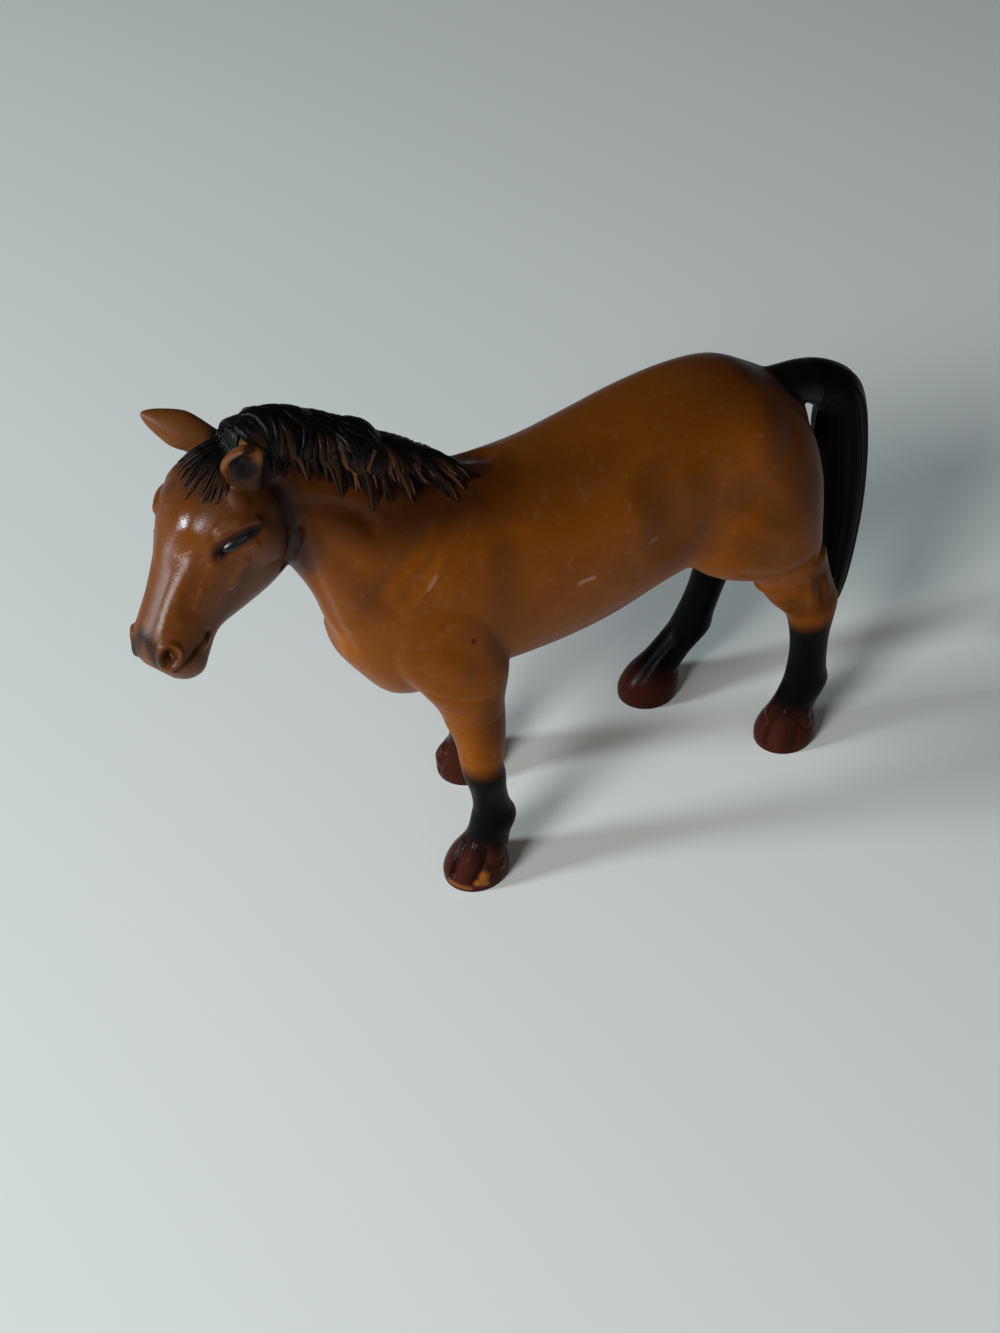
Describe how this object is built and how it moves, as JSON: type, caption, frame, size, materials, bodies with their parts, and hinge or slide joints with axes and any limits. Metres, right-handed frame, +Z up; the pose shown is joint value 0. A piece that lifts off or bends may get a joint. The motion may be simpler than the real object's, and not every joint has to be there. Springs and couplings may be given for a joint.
{
  "type": "toy horse figure",
  "caption": "Small moulded toy horse standing with its head turned to its left, glossy bay coat, black mane, tail and lower legs.",
  "frame": {"origin": "on the ground under the middle of the horse's box", "axes": "+X towards the tail, +Y towards the horse's right side, +Z up; the horse faces -X"},
  "size_m": [0.1408, 0.0338, 0.1042],
  "materials": {
    "coat": "glossy moulded plastic, sprayed darker on the back",
    "leg_paint": "glossy, painted black below the knee with dark red-brown hooves",
    "hair_paint": "glossy black paint over carved strands"
  },
  "bodies": {
    "root": {"body": "coat", "head": "coat", "tail": "hair_paint", "foreleg_left": "leg_paint", "foreleg_right": "leg_paint", "hind_leg_left": "leg_paint", "hind_leg_right": "leg_paint"}
  },
  "joints": []
}
